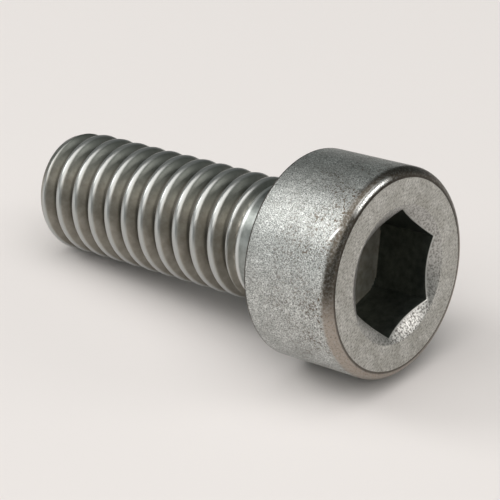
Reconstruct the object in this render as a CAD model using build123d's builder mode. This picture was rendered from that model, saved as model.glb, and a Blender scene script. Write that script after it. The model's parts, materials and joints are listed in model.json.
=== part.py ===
"""Hexagon socket head cap screw, one solid piece of zinc plated steel, lying at rest on its side.

The screw is modelled along its own axis, with the bearing face under the head at zero, the head
below it and the threaded end towards +Z. The last step lays it down the way a dropped screw comes
to rest: on the rim of its head and on the last full crest of its thread. Sizes are millimetres.
"""

import os
from math import atan2, degrees, floor, radians, tan

from build123d import *

inch = 25.4

# Head, with the rounded top edge of a cold headed and turned blank
head_diameter = 0.270 * inch
head_height = 0.135 * inch
head_edge_radius = 0.32
bearing_rim_chamfer = 0.05
under_head_taper = 0.20

# Hexagon socket for a 9/64 inch key, with a countersunk mouth
socket_across_flats = 0.142 * inch
socket_depth = 0.089 * inch
socket_mouth_diameter = 0.178 * inch
socket_mouth_angle = 120
socket_turn = 15.6

# Shank: a plain neck, then a number 8 thread with 32 turns to the inch
shank_length = 0.4375 * inch
neck_diameter = 3.96
neck_length = 1.70
thread_diameter = 0.164 * inch
thread_pitch = inch / 32
thread_angle = 60
crest_flat_share = 1 / 4
root_flat_share = 1 / 6
runout_length = 0.30
thread_start = 1.26
thread_start_angle = 152.7
end_diameter = 3.80
end_chamfer_angle = 19

# Worked out from the sizes above
flank_slope = tan(radians(thread_angle / 2))
sharp_height = thread_pitch / (2 * flank_slope)
thread_depth = sharp_height * (1 - crest_flat_share - root_flat_share)
half_crest = thread_pitch * crest_flat_share / 2
head_radius = head_diameter / 2
neck_radius = neck_diameter / 2
crest_radius = thread_diameter / 2
root_radius = crest_radius - thread_depth
end_radius = end_diameter / 2
end_chamfer_length = (crest_radius - end_radius) / tan(radians(end_chamfer_angle))
ridge_end = shank_length + thread_pitch / 2
rod_end = shank_length + 2 * thread_pitch

# Clear of every surface that a cutting profile has to pass
spare = thread_pitch


def make_threaded_rod():
    """Round bar of the thread's root diameter with one helical ridge seated in it."""
    seat = thread_depth / 8
    foot_radius = root_radius - seat
    ridge_height = thread_depth + seat
    half_foot = half_crest + ridge_height * flank_slope
    with BuildPart() as ridge:
        with BuildLine():
            Helix(
                pitch=thread_pitch,
                height=ridge_end - thread_start,
                radius=foot_radius,
                center=(0, 0, thread_start),
            )
        with BuildSketch(Plane((foot_radius, 0, thread_start), x_dir=(1, 0, 0), z_dir=(0, 1, 0))):
            with BuildLine():
                Polyline(
                    (0, -half_foot),
                    (ridge_height, -half_crest),
                    (ridge_height, half_crest),
                    (0, half_foot),
                    close=True,
                )
            make_face()
        sweep(is_frenet=True)

    with BuildPart() as rod:
        with BuildSketch():
            Circle(root_radius)
        extrude(amount=rod_end)
        add(ridge.part.rotate(Axis.Z, thread_start_angle))
    return rod.part


def make_thread():
    """The rod turned down where the thread runs out, cut to length and chamfered at its end."""
    outside = crest_radius + spare
    chamfer_slope = tan(radians(end_chamfer_angle))
    with BuildPart() as thread:
        add(make_threaded_rod())
        with BuildSketch(Plane.XZ):
            with BuildLine():
                runout_slope = (crest_radius - root_radius) / runout_length
                inside = root_radius - thread_depth / 4
                Polyline(
                    (inside, neck_length - thread_depth / 4 / runout_slope),
                    (outside, neck_length + (outside - root_radius) / runout_slope),
                    (outside, 0),
                    (inside, 0),
                    close=True,
                )
            make_face()
            with BuildLine():
                Polyline(
                    (0, shank_length),
                    (end_radius, shank_length),
                    (outside, shank_length - (outside - end_radius) / chamfer_slope),
                    (outside, rod_end + spare),
                    (0, rod_end + spare),
                    close=True,
                )
            make_face()
        revolve(axis=Axis.Z, mode=Mode.SUBTRACT)
    return thread.part


def make_neck():
    """Plain neck, wider where it meets the head, with a taper down into the thread's root."""
    joined_radius = neck_radius + under_head_taper
    with BuildPart() as neck:
        with BuildSketch(Plane.XZ):
            with BuildLine():
                Polyline(
                    (neck_radius, under_head_taper),
                    (neck_radius, neck_length),
                    (root_radius - thread_depth / 4, neck_length + runout_length),
                    (0, neck_length + runout_length),
                    (0, -head_height / 4),
                    (joined_radius, -head_height / 4),
                    (joined_radius, 0),
                    close=True,
                )
            make_face()
        revolve(axis=Axis.Z)
    return neck.part


def make_head():
    """Head with its rounded edges and the hexagon socket."""
    with BuildPart() as head:
        with BuildSketch(Plane.XY.offset(-head_height)):
            Circle(head_radius)
        extrude(amount=head_height)
        rims = head.edges().filter_by(GeomType.CIRCLE).sort_by(Axis.Z)
        fillet(rims[0], radius=head_edge_radius)
        rims = head.edges().filter_by(GeomType.CIRCLE).sort_by(Axis.Z)
        chamfer(rims[-1], length=bearing_rim_chamfer)

        with BuildSketch(Plane.XY.offset(-head_height)):
            RegularPolygon(socket_across_flats / 2, 6, major_radius=False)
        extrude(amount=socket_depth, mode=Mode.SUBTRACT)

        with BuildSketch(Plane.XZ):
            with BuildLine():
                mouth_radius = socket_mouth_diameter / 2
                mouth_slope = tan(radians(socket_mouth_angle / 2))
                Polyline(
                    (0, -head_height - spare),
                    (mouth_radius + spare * mouth_slope, -head_height - spare),
                    (0, -head_height + mouth_radius / mouth_slope),
                    close=True,
                )
            make_face()
        revolve(axis=Axis.Z, mode=Mode.SUBTRACT)
    return head.part.rotate(Axis.Z, socket_turn)


def rest_tilt():
    """Angle between the axis and the floor, from the two places where the lying screw touches."""
    first_crest = thread_start + thread_pitch * (360 - thread_start_angle) / 360
    full_thread = shank_length - end_chamfer_length - half_crest - first_crest
    last_crest = first_crest + floor(full_thread / thread_pitch) * thread_pitch + half_crest
    return atan2(head_radius - crest_radius, last_crest + bearing_rim_chamfer)


with BuildPart() as cap_screw:
    add(make_neck())
    add(make_thread())
    add(make_head())

# Laid down with the underside of the screw on the floor, centred over the origin
lying = cap_screw.part.rotate(Axis.Y, 90 + degrees(rest_tilt()))
box = lying.bounding_box()
cap_screw_at_rest = lying.moved(Location((-box.center().X, -box.center().Y, -box.min.Z)))

os.makedirs("parts", exist_ok=True)
cap_screw_at_rest.label = "cap_screw"
export_step(cap_screw_at_rest, "parts/cap_screw.step")
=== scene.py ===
"""Hexagon socket head cap screw of zinc plated steel, lying on a pale table top.

The screw is one closed mesh, modelled upright along its own axis in millimetres: bearing face of
the head at zero, head below it, threaded end at the top. It is then laid down where the CAD
model's mounts say that its axis is.
"""

import json
from math import asin, atan2, cos, degrees, pi, radians, sin, tan

import bpy
from mathutils import Matrix, Vector


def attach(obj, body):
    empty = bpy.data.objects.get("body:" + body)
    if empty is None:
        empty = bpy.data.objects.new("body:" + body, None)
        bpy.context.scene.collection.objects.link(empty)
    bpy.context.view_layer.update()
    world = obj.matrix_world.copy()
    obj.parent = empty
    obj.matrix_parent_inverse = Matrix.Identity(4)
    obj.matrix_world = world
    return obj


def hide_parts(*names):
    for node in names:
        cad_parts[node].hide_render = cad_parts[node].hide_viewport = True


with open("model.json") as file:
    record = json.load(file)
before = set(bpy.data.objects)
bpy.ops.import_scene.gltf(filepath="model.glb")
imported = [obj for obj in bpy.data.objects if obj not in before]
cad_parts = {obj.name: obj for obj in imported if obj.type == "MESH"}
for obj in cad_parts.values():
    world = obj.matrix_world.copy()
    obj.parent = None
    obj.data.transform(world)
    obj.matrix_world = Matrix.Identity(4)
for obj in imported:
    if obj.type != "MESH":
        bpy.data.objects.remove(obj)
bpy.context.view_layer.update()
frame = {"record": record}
bpy.ops.object.select_all(action="DESELECT")

MM = 0.001

# Sizes of the head. All sizes of the screw are in millimetres
HEAD_RADIUS = 3.429
HEAD_HEIGHT = 3.429
HEAD_EDGE = 0.32
FACE_RADIUS = HEAD_RADIUS - HEAD_EDGE
RIM_EDGE = 0.05

# Hexagon socket: half its width, its floor and the worn corners there and at its mouth
SOCKET_FLAT = 1.8034
SOCKET_TURN = 15.6
SOCKET_DEPTH = 2.2606
SOCKET_FLOOR = -HEAD_HEIGHT + SOCKET_DEPTH
FLOOR_CORNER = 0.045
MOUTH_RADIUS = 2.2606
MOUTH_SLOPE = 1 / tan(radians(60))
WORN_EDGE = 0.032

# Neck, and how far below the thread's root its cone ends
NECK_RADIUS = 1.98
NECK_FILLET = 0.20
NECK_LENGTH = 1.70
NECK_SINK = 0.12

# Thread and end
SHANK_LENGTH = 11.1125
CREST_RADIUS = 2.0828
ROOT_RADIUS = 1.6818
PITCH = 0.79375
RUNOUT_LENGTH = 0.30
THREAD_START = 1.26
THREAD_START_ANGLE = 152.7
END_RADIUS = 1.90
END_SLOPE = tan(radians(19))

# Rounded crests and roots, each turning this far on either side to meet the flanks
ROUND_TURN = radians(60)
CREST_ROUND = 0.172
ROOT_ROUND = 0.115
HALF_PITCH = PITCH / 2
CREST_HALF = CREST_ROUND * sin(ROUND_TURN)
ROOT_HALF = ROOT_ROUND * sin(ROUND_TURN)
CREST_FOOT = CREST_RADIUS - CREST_ROUND * (1 - cos(ROUND_TURN))
ROOT_TOP = ROOT_RADIUS + ROOT_ROUND * (1 - cos(ROUND_TURN))

# Widths over which the corners of the shank are rounded
RUNOUT_SOFT = 0.03
SHOULDER_SOFT = 0.10
JOIN_SOFT = 0.02
END_SOFT = 0.04

# Fineness of the mesh: columns round the axis, turns of the screwed profile, steps along its parts
COLUMNS = 120
TURNS = 16
CREST_STEPS = 5
FLANK_STEPS = 6
ROOT_STEPS = 4

# Vertices closer than MERGE become one, edges shorter than SLIVER are dissolved, and a vertex
# nearer than NEAR to a plane lies on it
MERGE = 0.0005
SLIVER = 0.0003
NEAR = 0.0001


# Helpers for modelling
def new_object(name):
    """Names the object that the last operator added."""
    piece = bpy.context.object
    piece.name = name
    piece.data.name = name
    return piece


def edit(piece):
    """Opens one object in edit mode with everything in it selected."""
    bpy.ops.object.select_all(action="DESELECT")
    piece.select_set(True)
    bpy.context.view_layer.objects.active = piece
    bpy.ops.object.mode_set(mode="EDIT")
    bpy.ops.mesh.select_all(action="SELECT")


def done():
    """Closes edit mode."""
    bpy.ops.object.mode_set(mode="OBJECT")


def select_above(piece, height):
    """In edit mode, selects the vertices above this height and no others."""
    bpy.ops.mesh.select_all(action="DESELECT")
    done()
    for vertex in piece.data.vertices:
        vertex.select = vertex.co.z > height
    bpy.ops.object.mode_set(mode="EDIT")
    bpy.ops.mesh.select_mode(type="VERT")


def extrude(step):
    """Extrudes the selected edges by this step."""
    bpy.ops.mesh.extrude_edges_move(TRANSFORM_OT_translate={"value": step})


# Head
def socket_radius(angle):
    """Distance from the axis to the hexagon's wall at this angle, which is 0 at one corner."""
    side = radians(60)
    return SOCKET_FLAT / cos((angle % side) - side / 2)


def mouth_height(radius):
    """Height of the countersunk mouth at this radius."""
    return -HEAD_HEIGHT + (MOUTH_RADIUS - radius) * MOUTH_SLOPE


def head_rings():
    """Rings of the head, from the socket's floor out and round to the neck.

    Each is a function from the angle to (radius, height), so that the hexagon's rings and the
    round ones are written the same way.
    """
    rings = []

    def floor(share, rise):
        rings.append(lambda a: (socket_radius(a) * share, SOCKET_FLOOR - rise))

    def wall(share):
        def place(angle):
            low = SOCKET_FLOOR - FLOOR_CORNER
            high = mouth_height(socket_radius(angle)) + WORN_EDGE
            return socket_radius(angle), low + (high - low) * share

        rings.append(place)

    def corner(out, up):
        rings.append(
            lambda a: (
                socket_radius(a) + WORN_EDGE * out,
                mouth_height(socket_radius(a)) + WORN_EDGE * up,
            )
        )

    def half_way_out(angle):
        radius = (socket_radius(angle) + MOUTH_RADIUS) / 2
        return radius, mouth_height(radius)

    def circle(radius, height):
        rings.append(lambda a: (radius, height))

    def arc(radius, height, size, start, turn, steps):
        for step in range(1, steps + 1):
            way = radians(start + turn * step / steps)
            circle(radius + size * cos(way), height + size * sin(way))

    # floor, walls and mouth of the socket, with the soft corners that wear has left
    for share, rise in ((0.45, 0), (0.80, 0), (0.975, 0), (0.994, 0.012), (1, FLOOR_CORNER)):
        floor(share, rise)
    for share in (0.25, 0.50, 0.75):
        wall(share)
    for out, up in ((0, 1), (0.22, 0.18), (0.85, -0.85 * MOUTH_SLOPE)):
        corner(out, up)
    rings.append(half_way_out)
    circle(MOUTH_RADIUS - WORN_EDGE, mouth_height(MOUTH_RADIUS - WORN_EDGE))
    circle(MOUTH_RADIUS + WORN_EDGE * 0.10, -HEAD_HEIGHT + WORN_EDGE * 0.14)

    # flat face, rounded edge, side and rear rim
    inner = MOUTH_RADIUS + WORN_EDGE
    for share in (0, 0.35, 0.70, 1):
        circle(inner + (FACE_RADIUS - inner) * share, -HEAD_HEIGHT)
    edge_top = -HEAD_HEIGHT + HEAD_EDGE
    arc(FACE_RADIUS, edge_top, HEAD_EDGE, start=-90, turn=90, steps=12)
    for share in (0.2, 0.4, 0.6, 0.8, 1):
        circle(HEAD_RADIUS, edge_top + (-RIM_EDGE - edge_top) * share)
    arc(HEAD_RADIUS - RIM_EDGE, -RIM_EDGE, RIM_EDGE, start=0, turn=90, steps=4)

    # bearing face and the fillet up to the neck
    circle((HEAD_RADIUS + NECK_RADIUS) / 2, 0)
    circle(NECK_RADIUS + NECK_FILLET, 0)
    arc(NECK_RADIUS + NECK_FILLET, NECK_FILLET, NECK_FILLET, start=-90, turn=-90, steps=6)
    return rings


def make_head():
    """Round head with its socket, extruded a step for each ring and then fitted to the rings."""
    rings = head_rings()
    bpy.ops.mesh.primitive_circle_add(vertices=COLUMNS, radius=1, fill_type="NGON")
    head = new_object("head")
    edit(head)
    extrude((0, 0, 1))
    select_above(head, 0.5)
    for _ in rings[2:]:
        extrude((0, 0, 1))
    done()
    for vertex in head.data.vertices:
        angle = atan2(vertex.co.y, vertex.co.x)
        radius, height = rings[round(vertex.co.z)](angle)
        vertex.co = (radius * cos(angle), radius * sin(angle), height)
    return head


# Shank
def thread_radius(height):
    """Radius of the full thread at this height above the middle of a crest."""
    away = abs((height + HALF_PITCH) % PITCH - HALF_PITCH)
    if away < CREST_HALF:
        return CREST_RADIUS - CREST_ROUND * (1 - cos(asin(away / CREST_ROUND)))
    if HALF_PITCH - away < ROOT_HALF:
        return ROOT_RADIUS + ROOT_ROUND * (1 - cos(asin((HALF_PITCH - away) / ROOT_ROUND)))
    share = (away - CREST_HALF) / (HALF_PITCH - ROOT_HALF - CREST_HALF)
    return CREST_FOOT + (ROOT_TOP - CREST_FOOT) * share


def thread_profile():
    """Heights of the points of one pitch, closer together on the crest and in the root."""
    half = [CREST_ROUND * sin(ROUND_TURN * i / CREST_STEPS) for i in range(CREST_STEPS)]
    flank = HALF_PITCH - ROOT_HALF - CREST_HALF
    half += [CREST_HALF + flank * i / FLANK_STEPS for i in range(FLANK_STEPS)]
    half += [
        HALF_PITCH - ROOT_ROUND * sin(ROUND_TURN * i / ROOT_STEPS)
        for i in range(ROOT_STEPS, -1, -1)
    ]
    return half + [PITCH - height for height in reversed(half[:-1])]


def softer(value, limit, width):
    """The smaller of two radii, with their corner rounded over this width."""
    mix = max(0.0, min(1.0, 0.5 + 0.5 * (limit - value) / width))
    return limit + (value - limit) * mix - width * mix * (1 - mix)


def shank_radius(angle, height):
    """Radius of the shank: the thread, its run-out, the plain neck and the chamfered end."""
    crest = THREAD_START + PITCH * (degrees(angle) - THREAD_START_ANGLE) / 360
    past_neck = height - NECK_LENGTH
    run_out = ROOT_RADIUS + past_neck * (CREST_RADIUS - ROOT_RADIUS) / RUNOUT_LENGTH
    thread = softer(thread_radius(height - crest), run_out, RUNOUT_SOFT)
    cone = NECK_RADIUS - past_neck * (NECK_RADIUS - ROOT_RADIUS + NECK_SINK) / RUNOUT_LENGTH
    neck = softer(NECK_RADIUS, cone, SHOULDER_SOFT)
    joined = -softer(-thread, -neck, JOIN_SOFT)
    chamfer = END_RADIUS + (SHANK_LENGTH - height) * END_SLOPE
    return softer(joined, chamfer, END_SOFT)


def make_shank():
    """Threaded shank: one pitch of the profile, screwed up the axis and fitted to its radii.

    The whole screw is turned with its socket in the end, so the thread is made that much behind.
    """
    profile = thread_profile()
    first_crest = THREAD_START + PITCH * (SOCKET_TURN - THREAD_START_ANGLE) / 360
    while first_crest > NECK_FILLET - PITCH:
        first_crest -= PITCH
    bpy.ops.mesh.primitive_plane_add(size=1)
    shank = new_object("shank")
    edit(shank)
    bpy.ops.mesh.merge(type="CENTER")
    bpy.ops.transform.translate(value=(CREST_RADIUS, 0, first_crest))
    for low, high in zip(profile, profile[1:]):
        step = (thread_radius(high) - thread_radius(low), 0, high - low)
        bpy.ops.mesh.extrude_region_move(TRANSFORM_OT_translate={"value": step})
    done()

    turns = shank.modifiers.new("turns", "SCREW")
    turns.axis = "Z"
    turns.angle = radians(360)
    turns.screw_offset = PITCH
    turns.iterations = TURNS
    turns.steps = COLUMNS
    turns.render_steps = COLUMNS
    bpy.ops.object.modifier_apply(modifier=turns.name)
    edit(shank)
    bpy.ops.mesh.remove_doubles(threshold=MERGE)
    done()

    for vertex in shank.data.vertices:
        angle = atan2(vertex.co.y, vertex.co.x)
        height = min(max(vertex.co.z, NECK_FILLET), SHANK_LENGTH)
        radius = NECK_RADIUS
        if height > NECK_FILLET:
            radius = shank_radius(angle + radians(SOCKET_TURN), height)
        vertex.co = (radius * cos(angle), radius * sin(angle), height)
    edit(shank)
    bpy.ops.mesh.remove_doubles(threshold=MERGE)
    bpy.ops.mesh.dissolve_degenerate(threshold=SLIVER)
    done()
    return shank


def close_end(shank):
    """Closes the flat end with two rings and a face, so that its edge stays crisp."""
    edit(shank)
    select_above(shank, SHANK_LENGTH - NEAR)
    for share in (0.985, 0.55):
        extrude((0, 0, 0))
        bpy.ops.transform.resize(value=(share, share, 1), center_override=(0, 0, 0))
    bpy.ops.mesh.edge_face_add()
    done()


def make_screw():
    """Head and shank joined at the neck into one closed mesh, with its socket turned."""
    head = make_head()
    shank = make_shank()
    close_end(shank)
    bpy.ops.object.select_all(action="DESELECT")
    shank.select_set(True)
    head.select_set(True)
    bpy.context.view_layer.objects.active = head
    bpy.ops.object.join()
    whole = new_object("screw")
    edit(whole)
    bpy.ops.mesh.remove_doubles(threshold=MERGE)
    bpy.ops.mesh.normals_make_consistent(inside=False)
    done()
    whole.data.transform(Matrix.Rotation(radians(SOCKET_TURN), 4, "Z"))
    return whole


screw = make_screw()

# The screw's own axis, from the mount on the face of its head
socket = next(m for m in frame["record"]["mounts"] if m["name"] == "key_socket")
outward = Vector(socket["axis"])
bearing = Vector(socket["pos_m"]) - outward * HEAD_HEIGHT * MM
lean = atan2(-outward.x, -outward.z)

screw.rotation_euler = (0, lean, 0)
screw.location = bearing
screw.scale = (MM, MM, MM)
bpy.ops.object.transform_apply(location=True, rotation=True, scale=True)
bpy.ops.object.shade_smooth_by_angle(angle=radians(40))


# Helpers for materials
def colour(text):
    """sRGB hex to the linear colour that a shader takes."""
    parts = [int(text[i : i + 2], 16) / 255 for i in (1, 3, 5)]
    return [c / 12.92 if c <= 0.04045 else ((c + 0.055) / 1.055) ** 2.4 for c in parts] + [1.0]


def add(tree, kind, inputs=None, **settings):
    """Adds a node with its settings, and sets or links its inputs.

    An input goes by its name or number among those that the node shows. A node given as a value
    is linked from the first output that it shows.
    """
    made = tree.nodes.new(kind)
    for key, value in settings.items():
        setattr(made, key, value)
    shown = [entry for entry in made.inputs if entry.enabled]
    for key, value in (inputs or {}).items():
        entry = shown[key] if isinstance(key, int) else next(e for e in shown if e.name == key)
        if isinstance(value, bpy.types.Node):
            value = next(output for output in value.outputs if output.enabled)
        if isinstance(value, bpy.types.NodeSocket):
            tree.links.new(value, entry)
        else:
            entry.default_value = value
    return made


def make_material(finish):
    """Material named after this function, which adds the nodes and returns the shader."""
    material = bpy.data.materials.new(finish.__name__)
    material.use_nodes = True
    tree = material.node_tree
    tree.nodes.clear()
    add(tree, "ShaderNodeOutputMaterial", {"Surface": finish(tree)})
    return material


def screw_place(tree):
    """Place on the screw's own axes in millimetres: X down, Y across, Z towards the thread."""
    place = add(tree, "ShaderNodeTexCoord")
    return add(
        tree,
        "ShaderNodeMapping",
        {
            "Vector": place.outputs["Object"],
            "Location": tuple(bearing),
            "Rotation": (0, lean, 0),
            "Scale": (MM, MM, MM),
        },
        vector_type="TEXTURE",
    )


def axis_distance(tree, place):
    """Distance from the screw's axis, in millimetres."""
    across = add(tree, "ShaderNodeVectorMath", {0: place, 1: (1, 1, 0)}, operation="MULTIPLY")
    return add(tree, "ShaderNodeVectorMath", {0: across}, operation="LENGTH")


def clouded(tree, place, size, spread, first, second, detail=3.0, roughness=0.6):
    """Two colours blended in soft patches of this size, in millimetres."""
    cloud = add(
        tree,
        "ShaderNodeTexNoise",
        {"Vector": place, "Scale": 1 / size, "Detail": detail, "Roughness": roughness},
    )
    share = add(
        tree,
        "ShaderNodeMapRange",
        {"Value": cloud, "From Min": 0.5 - spread, "From Max": 0.5 + spread},
    )
    return add(
        tree,
        "ShaderNodeMix",
        {"Factor": share, "A": colour(first), "B": colour(second)},
        data_type="RGBA",
    )


# Places of the painted highlights on the head and its socket's mouth, on the screw's own axes in
# millimetres
STREAK_MIDDLE = (-3.12, 0.95, -3.39)
KNOCK_MIDDLE = (-2.32, 2.50, -3.05)
KNOCK_ACROSS = (0.288, 0.268, -0.920)
FRESH_MIDDLE = (1.95, -0.50, -3.30)


# Steps of the head's finish
def pebbled_plating(tree, place, grain, cloud):
    """Colour of the zinc: its grain, dulled in the patches where it was handled."""
    pitted = add(
        tree, "ShaderNodeMapRange", {"Value": grain, "From Min": 0.36, "From Max": 0.64}
    )
    plating = add(
        tree,
        "ShaderNodeMix",
        {"Factor": pitted, "A": colour("#747775"), "B": colour("#EEF0ED")},
        data_type="RGBA",
    )
    dulled = add(
        tree,
        "ShaderNodeMapRange",
        {"Value": cloud, "From Min": 0.35, "From Max": 0.70, "To Max": 0.40},
    )
    handled = add(
        tree,
        "ShaderNodeMix",
        {"Factor": dulled, "A": plating, "B": colour("#8B8D8B")},
        data_type="RGBA",
    )
    # the plating is also uneven in spots 0.15 mm across
    uneven = add(
        tree,
        "ShaderNodeTexNoise",
        {"Vector": place, "Scale": 1 / 0.15, "Detail": 1.0, "Roughness": 0.5},
    )
    thinner = add(
        tree,
        "ShaderNodeMapRange",
        {"Value": uneven, "From Min": 0.42, "From Max": 0.62, "To Max": 0.26},
    )
    return add(
        tree,
        "ShaderNodeMix",
        {"Factor": thinner, "A": handled, "B": colour("#858884")},
        data_type="RGBA",
    )


def bare_specks(tree, height, speck, cloud, plated):
    """Brown specks of bare steel on the plating, in patches and denser by the front edge."""
    speckled = add(
        tree, "ShaderNodeMapRange", {"Value": speck, "From Min": 0.54, "From Max": 0.59}
    )
    thin = add(
        tree,
        "ShaderNodeMapRange",
        {"Value": height, "From Min": -0.6, "From Max": -2.9, "To Min": 0.20, "To Max": 0.95},
    )
    patches = add(
        tree,
        "ShaderNodeMapRange",
        {"Value": cloud, "From Min": 0.42, "From Max": 0.56, "To Min": 0.15},
    )
    worn = add(tree, "ShaderNodeMath", {0: thin, 1: patches}, operation="MULTIPLY")
    bare = add(tree, "ShaderNodeMath", {0: speckled, 1: worn}, operation="MULTIPLY")
    return add(
        tree,
        "ShaderNodeMix",
        {"Factor": bare, "A": plated, "B": colour("#605040")},
        data_type="RGBA",
    )


def rubbed_edge(tree, down, front, grain, speck, specked):
    """Front edge rubbed down to brown steel, dark on its upper half and tan on its lower one."""
    lower = add(tree, "ShaderNodeMapRange", {"Value": down, "From Min": -0.7, "From Max": 0.3})
    steel = add(
        tree,
        "ShaderNodeMix",
        {"Factor": lower, "A": colour("#58534B"), "B": colour("#A39A90")},
        data_type="RGBA",
    )
    pits = add(
        tree,
        "ShaderNodeMapRange",
        {"Value": grain, "From Min": 0.52, "From Max": 0.66, "To Max": 0.75},
    )
    pocked = add(
        tree,
        "ShaderNodeMix",
        {"Factor": pits, "A": steel, "B": colour("#54483D")},
        data_type="RGBA",
    )
    patchy = add(
        tree,
        "ShaderNodeMapRange",
        {"Value": speck, "From Min": 0.35, "From Max": 0.55, "To Min": 0.70},
    )
    rubbed = add(tree, "ShaderNodeMath", {0: front, 1: patchy}, operation="MULTIPLY")
    return add(
        tree,
        "ShaderNodeMix",
        {"Factor": rubbed, "A": specked, "B": pocked},
        data_type="RGBA",
    )


def white_streak(tree, place, grain):
    """Mask of a painted highlight along the rounded edge, between two radii and broken by grain.
    """
    radius = axis_distance(tree, place)
    along = add(
        tree, "ShaderNodeVectorMath", {0: place, 1: STREAK_MIDDLE}, operation="DISTANCE"
    )
    ends = add(tree, "ShaderNodeMapRange", {"Value": along, "From Min": 1.05, "From Max": 0.65})
    outer = add(
        tree, "ShaderNodeMapRange", {"Value": radius, "From Min": 3.36, "From Max": 3.31}
    )
    inner = add(
        tree, "ShaderNodeMapRange", {"Value": radius, "From Min": 3.195, "From Max": 3.225}
    )
    broken = add(
        tree,
        "ShaderNodeMapRange",
        {"Value": grain, "From Min": 0.60, "From Max": 0.50, "To Min": 0.60},
    )
    band = add(tree, "ShaderNodeMath", {0: outer, 1: inner}, operation="MULTIPLY")
    whole = add(tree, "ShaderNodeMath", {0: band, 1: ends}, operation="MULTIPLY")
    return add(tree, "ShaderNodeMath", {0: whole, 1: broken}, operation="MULTIPLY")


def slanting_knock(tree, place):
    """Mask of a short painted highlight just behind the rounded edge, slanting up to the one along
    it.
    """
    away = add(
        tree, "ShaderNodeVectorMath", {0: place, 1: KNOCK_MIDDLE}, operation="DISTANCE"
    )
    ends = add(
        tree,
        "ShaderNodeMapRange",
        {"Value": away, "From Min": 0.36, "From Max": 0.16, "To Max": 0.85},
    )
    slant = add(
        tree, "ShaderNodeVectorMath", {0: place, 1: KNOCK_ACROSS}, operation="DOT_PRODUCT"
    )
    front = add(tree, "ShaderNodeMapRange", {"Value": slant, "From Min": 2.92, "From Max": 2.89})
    back = add(tree, "ShaderNodeMapRange", {"Value": slant, "From Min": 2.81, "From Max": 2.86})
    band = add(tree, "ShaderNodeMath", {0: front, 1: back}, operation="MULTIPLY")
    return add(tree, "ShaderNodeMath", {0: band, 1: ends}, operation="MULTIPLY")


def dirty_corners(tree, height, clean):
    """Painted shade: dark lines in the corner between the rounded edge and the face, and on that
    of the rear rim.
    """
    by_face = add(
        tree,
        "ShaderNodeMapRange",
        {
            "Value": height,
            "From Min": -HEAD_HEIGHT + 0.013,
            "From Max": -HEAD_HEIGHT + 0.005,
            "To Max": 0.7,
        },
    )
    lined = add(
        tree,
        "ShaderNodeMix",
        {"Factor": by_face, "A": clean, "B": colour("#37332E")},
        data_type="RGBA",
    )
    by_rim = add(
        tree, "ShaderNodeMapRange", {"Value": height, "From Min": -0.085, "From Max": -0.055}
    )
    return add(
        tree,
        "ShaderNodeMix",
        {"Factor": by_rim, "A": lined, "B": colour("#4A4641")},
        data_type="RGBA",
    )


# Electroplated zinc over a cold headed blank: a satin metal with a pebbled grain from the pickled
# steel below it, and brown specks where the plating is thin, most of them by the front edge
def zinc_plated_head(tree):
    place = screw_place(tree)
    axes = add(tree, "ShaderNodeSeparateXYZ", {"Vector": place})
    height = axes.outputs["Z"]
    # the real pits and peaks are finer than a pixel, and are drawn 0.037 mm across
    grain = add(
        tree,
        "ShaderNodeTexNoise",
        {"Vector": place, "Scale": 1 / 0.037, "Detail": 2.0, "Roughness": 0.6},
    )
    # broad patches from handling, 0.8 mm across
    cloud = add(
        tree,
        "ShaderNodeTexNoise",
        {"Vector": place, "Scale": 1 / 0.8, "Detail": 3.0, "Roughness": 0.6},
    )
    # specks under 0.1 mm across
    speck = add(
        tree,
        "ShaderNodeTexNoise",
        {"Vector": place, "Scale": 1 / 0.075, "Detail": 3.0, "Roughness": 0.65},
    )
    front = add(
        tree,
        "ShaderNodeMapRange",
        {"Value": height, "From Min": -HEAD_HEIGHT + 0.36, "From Max": -HEAD_HEIGHT + 0.22},
    )

    plated = pebbled_plating(tree, place, grain, cloud)
    specked = bare_specks(tree, height, speck, cloud, plated)
    edged = rubbed_edge(tree, axes.outputs["X"], front, grain, speck, specked)
    # two painted highlights, near white: one along the rounded edge and a short slanting one just
    # behind it
    streak = white_streak(tree, place, grain)
    knock = slanting_knock(tree, place)
    knocked = add(tree, "ShaderNodeMath", {0: streak, 1: knock}, operation="MAXIMUM")
    polished = add(
        tree,
        "ShaderNodeMix",
        {"Factor": knocked, "A": edged, "B": colour("#FBFBF8")},
        data_type="RGBA",
    )
    # painted shade: dark lines along the face border and the rear rim
    dirty = dirty_corners(tree, height, polished)

    # the rubbed edge is smoother than the plating, and the painted highlight along it smoother
    # still
    rough = add(tree, "ShaderNodeMapRange", {"Value": front, "To Min": 0.45, "To Max": 0.36})
    smooth = add(tree, "ShaderNodeMix", {"Factor": streak, "A": rough, "B": 0.22})
    relief = add(tree, "ShaderNodeMapRange", {"Value": front, "To Min": 0.8, "To Max": 0.35})
    bump = add(
        tree,
        "ShaderNodeBump",
        {"Height": grain, "Strength": relief, "Distance": 0.012 * MM},
    )
    return add(
        tree,
        "ShaderNodeBsdfPrincipled",
        {"Base Color": dirty, "Roughness": smooth, "Metallic": 1.0, "Normal": bump},
    )


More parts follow.
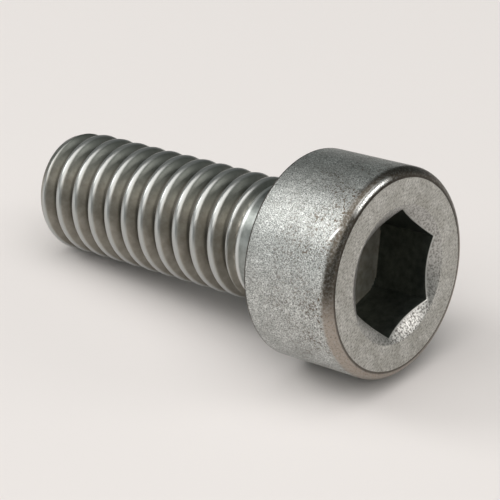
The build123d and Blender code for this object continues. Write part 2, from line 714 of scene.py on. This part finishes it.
# The head's flat face and the cut end: plating left dull by the die, mottled and matt
def dull_plated_face(tree):
    place = screw_place(tree)
    plating = clouded(
        tree, place, 0.45, 0.18, "#B9B7B0", "#DAD9D4", detail=4.0, roughness=0.65
    )
    # the die's grain is drawn out one way, 0.035 mm wide and three times as long
    drawn = add(
        tree,
        "ShaderNodeMapping",
        {"Vector": place, "Rotation": (0, 0, radians(59)), "Scale": (3, 1, 1)},
        vector_type="TEXTURE",
    )
    grain = add(
        tree,
        "ShaderNodeTexNoise",
        {"Vector": drawn, "Scale": 1 / 0.035, "Detail": 2.0, "Roughness": 0.6},
    )
    pitted = add(
        tree,
        "ShaderNodeMapRange",
        {"Value": grain, "From Min": 0.43, "From Max": 0.65, "To Max": 0.80},
    )
    grained = add(
        tree,
        "ShaderNodeMix",
        {"Factor": pitted, "A": plating, "B": colour("#787873")},
        data_type="RGBA",
    )
    bump = add(
        tree, "ShaderNodeBump", {"Height": grain, "Strength": 0.6, "Distance": 0.008 * MM}
    )
    return add(
        tree,
        "ShaderNodeBsdfPrincipled",
        {"Base Color": grained, "Roughness": 0.55, "Metallic": 0.9, "Normal": bump},
    )


# Punched socket: walls of thin plating that hold oil and dirt, nearly black in their own shade
def oiled_socket_walls(tree):
    walls = clouded(tree, screw_place(tree), 0.25, 0.20, "#4F5550", "#6F746E")
    return add(
        tree,
        "ShaderNodeBsdfPrincipled",
        {"Base Color": walls, "Roughness": 0.40, "Metallic": 1.0},
    )


# The socket's floor: plating with a film of dry grease, duller and paler than the walls
def greasy_socket_floor(tree):
    film = clouded(tree, screw_place(tree), 0.30, 0.20, "#7F7B70", "#A19E94")
    return add(
        tree,
        "ShaderNodeBsdfPrincipled",
        {"Base Color": film, "Roughness": 0.60, "Metallic": 0.6},
    )


# Countersunk mouth of the socket: bright metal, torn to a fine grain where the punch dragged it
def torn_mouth(tree):
    place = screw_place(tree)
    # tears 0.07 mm across
    grain = add(
        tree,
        "ShaderNodeTexNoise",
        {"Vector": place, "Scale": 1 / 0.070, "Detail": 3.0, "Roughness": 0.65},
    )
    torn = add(tree, "ShaderNodeMapRange", {"Value": grain, "From Min": 0.40, "From Max": 0.57})
    dragged = add(
        tree,
        "ShaderNodeMix",
        {"Factor": torn, "A": colour("#858480"), "B": colour("#BCBBB7")},
        data_type="RGBA",
    )
    # painted highlight: the lowest part of the mouth is painted near white among its torn grain
    away = add(
        tree, "ShaderNodeVectorMath", {0: place, 1: FRESH_MIDDLE}, operation="DISTANCE"
    )
    fresh = add(tree, "ShaderNodeMapRange", {"Value": away, "From Min": 1.15, "From Max": 0.85})
    bare = add(
        tree,
        "ShaderNodeMix",
        {"Factor": torn, "A": colour("#6F6C67"), "B": colour("#F2F0EC")},
        data_type="RGBA",
    )
    bright = add(
        tree,
        "ShaderNodeMix",
        {"Factor": fresh, "A": dragged, "B": bare},
        data_type="RGBA",
    )
    bump = add(
        tree, "ShaderNodeBump", {"Height": grain, "Strength": 0.7, "Distance": 0.010 * MM}
    )
    return add(
        tree,
        "ShaderNodeBsdfPrincipled",
        {"Base Color": bright, "Roughness": 0.36, "Metallic": 0.8, "Normal": bump},
    )


# Rolled thread: paler crests, partly clean plating and partly a painted highlight line, and flanks
# and roots dull under a brown stain of dry oil, painted shade on top and in the roots, darker
# below
def rolled_thread(tree):
    place = screw_place(tree)
    down = add(tree, "ShaderNodeSeparateXYZ", {"Vector": place}).outputs["X"]
    radius = axis_distance(tree, place)
    flank = clouded(tree, place, 0.35, 0.15, "#ABA89F", "#949087")
    # painted reflection: the upper side is painted a cold dark grey, like the dark surroundings it
    # reflects
    upper = add(
        tree,
        "ShaderNodeMapRange",
        {"Value": down, "From Min": -1.1, "From Max": -1.9, "To Max": 0.6},
    )
    cold = add(
        tree,
        "ShaderNodeMix",
        {"Factor": upper, "A": flank, "B": colour("#66716E")},
        data_type="RGBA",
    )
    # the flanks are darker towards the lower side
    drained = add(
        tree,
        "ShaderNodeMapRange",
        {"Value": down, "From Min": -0.9, "From Max": 0.6, "To Max": 0.45},
    )
    oily = add(
        tree,
        "ShaderNodeMix",
        {"Factor": drained, "A": cold, "B": colour("#67635A")},
        data_type="RGBA",
    )
    # dirt and painted shade in the root
    root = add(
        tree,
        "ShaderNodeMapRange",
        {"Value": radius, "From Min": 1.80, "From Max": 1.70},
        interpolation_type="SMOOTHSTEP",
    )
    rooted = add(
        tree,
        "ShaderNodeMix",
        {"Factor": root, "A": oily, "B": colour("#4E4C46")},
        data_type="RGBA",
    )
    # crests smoother and paler than the flanks, partly clean plating and partly a painted
    # highlight line
    crest = add(
        tree,
        "ShaderNodeMapRange",
        {"Value": radius, "From Min": 2.000, "From Max": 2.072},
        interpolation_type="SMOOTHSTEP",
    )
    thread = add(
        tree,
        "ShaderNodeMix",
        {"Factor": crest, "A": rooted, "B": colour("#B1B3B1")},
        data_type="RGBA",
    )
    rough = add(tree, "ShaderNodeMapRange", {"Value": crest, "To Min": 0.38, "To Max": 0.30})
    metal = add(tree, "ShaderNodeMapRange", {"Value": crest, "To Min": 0.96, "To Max": 0.86})
    return add(
        tree,
        "ShaderNodeBsdfPrincipled",
        {"Base Color": thread, "Roughness": rough, "Metallic": metal},
    )


# Plain neck: drawn wire that the dies have not touched, smooth satin plating
def satin_neck(tree):
    place = screw_place(tree)
    height = add(tree, "ShaderNodeSeparateXYZ", {"Vector": place}).outputs["Z"]
    plating = clouded(tree, place, 0.30, 0.15, "#7A7E7B", "#959996")
    # the shoulder beside the thread is paler as the crests are, partly burnished and partly a
    # painted highlight line
    shoulder = add(
        tree,
        "ShaderNodeMapRange",
        {"Value": height, "From Min": NECK_LENGTH - 0.20, "From Max": NECK_LENGTH - 0.12},
    )
    burnished = add(
        tree,
        "ShaderNodeMix",
        {"Factor": shoulder, "A": plating, "B": colour("#CBCDCB")},
        data_type="RGBA",
    )
    return add(
        tree,
        "ShaderNodeBsdfPrincipled",
        {"Base Color": burnished, "Roughness": 0.38, "Metallic": 1.0},
    )


# Corner between the socket's walls and its mouth, burnished evenly by the key
def burnished_corner(tree):
    return add(
        tree,
        "ShaderNodeBsdfPrincipled",
        {"Base Color": colour("#C2C2BD"), "Roughness": 0.38, "Metallic": 0.7},
    )


# Matt painted board, pale and warm
def pale_table_top(tree):
    return add(
        tree, "ShaderNodeBsdfPrincipled", {"Base Color": colour("#E4E0DE"), "Roughness": 0.8}
    )


# Where one finish gives way to the next, in millimetres
END_SKIN = 0.003
BEARING_SKIN = 0.001
THREAD_FROM = NECK_LENGTH + 0.06
CORNER_RADIUS = 2.15
CORNER_LOW = 0.003
CORNER_HIGH = 0.030
MOUTH_HIGH = 0.012
FLOOR_RADIUS = 1.98
FLOOR_SKIN = 0.03


def finish_of(point):
    """Finish of a face, from the height and radius of its middle on the screw's own axis."""
    from_bearing = (point - bearing) / MM
    height = -from_bearing.dot(outward)
    radius = (from_bearing + outward * height).length
    over_mouth = height - mouth_height(radius)
    if height > SHANK_LENGTH - END_SKIN:
        return dull_plated_face
    if height > THREAD_FROM:
        return rolled_thread
    if height > -BEARING_SKIN:
        return satin_neck
    if radius > FACE_RADIUS:
        return zinc_plated_head
    if radius > MOUTH_RADIUS:
        return dull_plated_face
    if radius < CORNER_RADIUS and CORNER_LOW < over_mouth < CORNER_HIGH:
        return burnished_corner
    if radius > SOCKET_FLAT and over_mouth < MOUTH_HIGH:
        return torn_mouth
    if radius < FLOOR_RADIUS and height > SOCKET_FLOOR - FLOOR_SKIN:
        return greasy_socket_floor
    return oiled_socket_walls


finishes = [
    zinc_plated_head,
    dull_plated_face,
    oiled_socket_walls,
    torn_mouth,
    rolled_thread,
    greasy_socket_floor,
    satin_neck,
    burnished_corner,
]
for finish in finishes:
    screw.data.materials.append(make_material(finish))
for polygon in screw.data.polygons:
    polygon.material_index = finishes.index(finish_of(polygon.center))

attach(screw, "root")
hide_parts("cap_screw")

# Table top
bpy.ops.mesh.primitive_plane_add(size=1.2)
table = new_object("table_top")
table.data.materials.append(make_material(pale_table_top))

# Light of the room
world = bpy.data.worlds.new("studio")
bpy.context.scene.world = world
world.use_nodes = True
background = world.node_tree.nodes["Background"]
background.inputs["Color"].default_value = colour("#E5F1ED")
background.inputs["Strength"].default_value = 0.13


def soft_light(name, azimuth, elevation, distance, width, depth, radiance, tint):
    """Rectangular soft light that faces the screw and looks this many times as bright as white."""
    a, e = radians(azimuth), radians(elevation)
    place = Vector((cos(e) * cos(a), cos(e) * sin(a), sin(e))) * distance
    bpy.ops.object.light_add(type="AREA", location=place)
    lamp = bpy.context.object
    lamp.name = name
    lamp.rotation_euler = (-place).to_track_quat("-Z", "Y").to_euler()
    lamp.data.shape = "RECTANGLE"
    lamp.data.size = width
    lamp.data.size_y = depth
    lamp.data.energy = radiance * pi * width * depth
    lamp.data.color = colour(tint)[:3]


# Azimuth and elevation in degrees, then distance, width and depth in metres
soft_light("key", 30, 40, 0.50, 0.20, 0.20, 5.2, "#FFFEFC")
soft_light("overhead", 118, 70, 0.50, 0.74, 0.74, 1.95, "#FFFCFA")
soft_light("low_window", 58, 9, 0.60, 0.60, 0.20, 0.95, "#FFFFFF")
soft_light("fill", -149, 28, 0.50, 0.18, 0.14, 3.4, "#FFFCF9")

# Camera, placed from the middle of the bearing face
CAMERA_PLACE = Vector((-36.444, 44.610, 31.998)) * MM
CAMERA_LOOK = Vector((0.57747, -0.65685, -0.48485))
bpy.ops.object.camera_add(location=bearing + CAMERA_PLACE)
camera = bpy.context.object
camera.name = "camera"
camera.rotation_euler = CAMERA_LOOK.to_track_quat("-Z", "Y").to_euler()
camera.data.lens = 147.0
camera.data.sensor_width = 36
camera.data.clip_start = 0.001
camera.data.clip_end = 10
bpy.context.scene.camera = camera

bpy.context.scene.view_settings.view_transform = "Standard"
